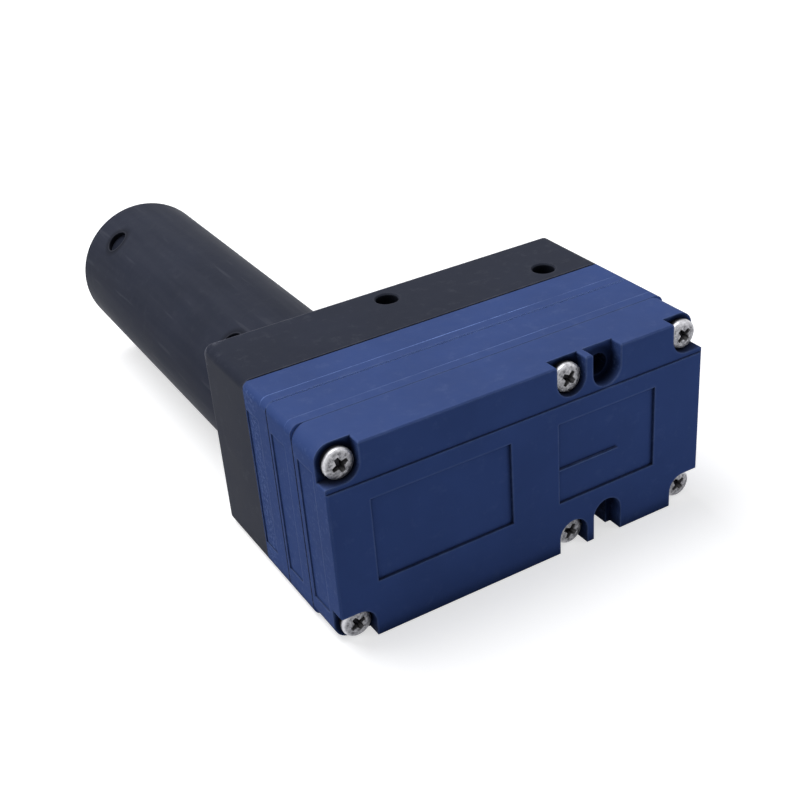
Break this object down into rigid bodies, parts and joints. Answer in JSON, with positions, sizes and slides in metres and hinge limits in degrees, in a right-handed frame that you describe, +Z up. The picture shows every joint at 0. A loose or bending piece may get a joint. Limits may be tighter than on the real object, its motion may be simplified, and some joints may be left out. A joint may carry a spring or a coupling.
{
  "type": "vacuum ejector",
  "caption": "Multistage vacuum ejector: a clamped block of moulded plates with nozzles inside, and a long round silencer on its back.",
  "frame": {"origin": "bottom centre of the bounding box, on the plane of the long side that it lies on", "axes": "+X along the block from the exhaust end to the inlet end, +Y from the cover to the silencer's free end, +Z up"},
  "size_m": [0.131, 0.2266, 0.066],
  "materials": {
    "blue_plastic": "moulded, fine satin grain",
    "black_plastic": "moulded, slightly worn satin",
    "zinc_steel": "bright zinc plate",
    "brass": "turned",
    "aluminium": "rolled",
    "rubber": "matt",
    "pale_plastic": "moulded, plain",
    "felt": "pressed felt"
  },
  "bodies": {
    "root": {"cover": "blue_plastic", "cover_gasket": "rubber", "upper_ejector_plate": "blue_plastic", "plate_gasket": "rubber", "lower_ejector_plate": "blue_plastic", "base_gasket": "rubber", "base_block": "black_plastic", "chamber_plate": "aluminium", "cover_screws": "zinc_steel", "screw_inserts": "brass", "upper_first_nozzle": "brass", "upper_second_nozzle": "pale_plastic", "upper_third_nozzle": "pale_plastic", "upper_outlet_nozzle": "pale_plastic", "lower_first_nozzle": "brass", "lower_second_nozzle": "pale_plastic", "lower_third_nozzle": "pale_plastic", "lower_outlet_nozzle": "pale_plastic", "upper_o_rings": "rubber", "lower_o_rings": "rubber", "upper_flap_valves": "rubber", "lower_flap_valves": "rubber", "upper_flap_rivets": "zinc_steel", "lower_flap_rivets": "zinc_steel", "vacuum_port_insert": "brass", "vacuum_strainer": "zinc_steel", "air_inlet_insert": "brass", "inlet_strainer": "brass", "silencer_tube": "black_plastic", "silencer_front_cap": "black_plastic", "silencer_end_cap": "black_plastic", "silencer_core": "aluminium", "silencer_lining": "felt", "silencer_end_pad": "felt", "silencer_seal": "rubber"}
  },
  "joints": []
}
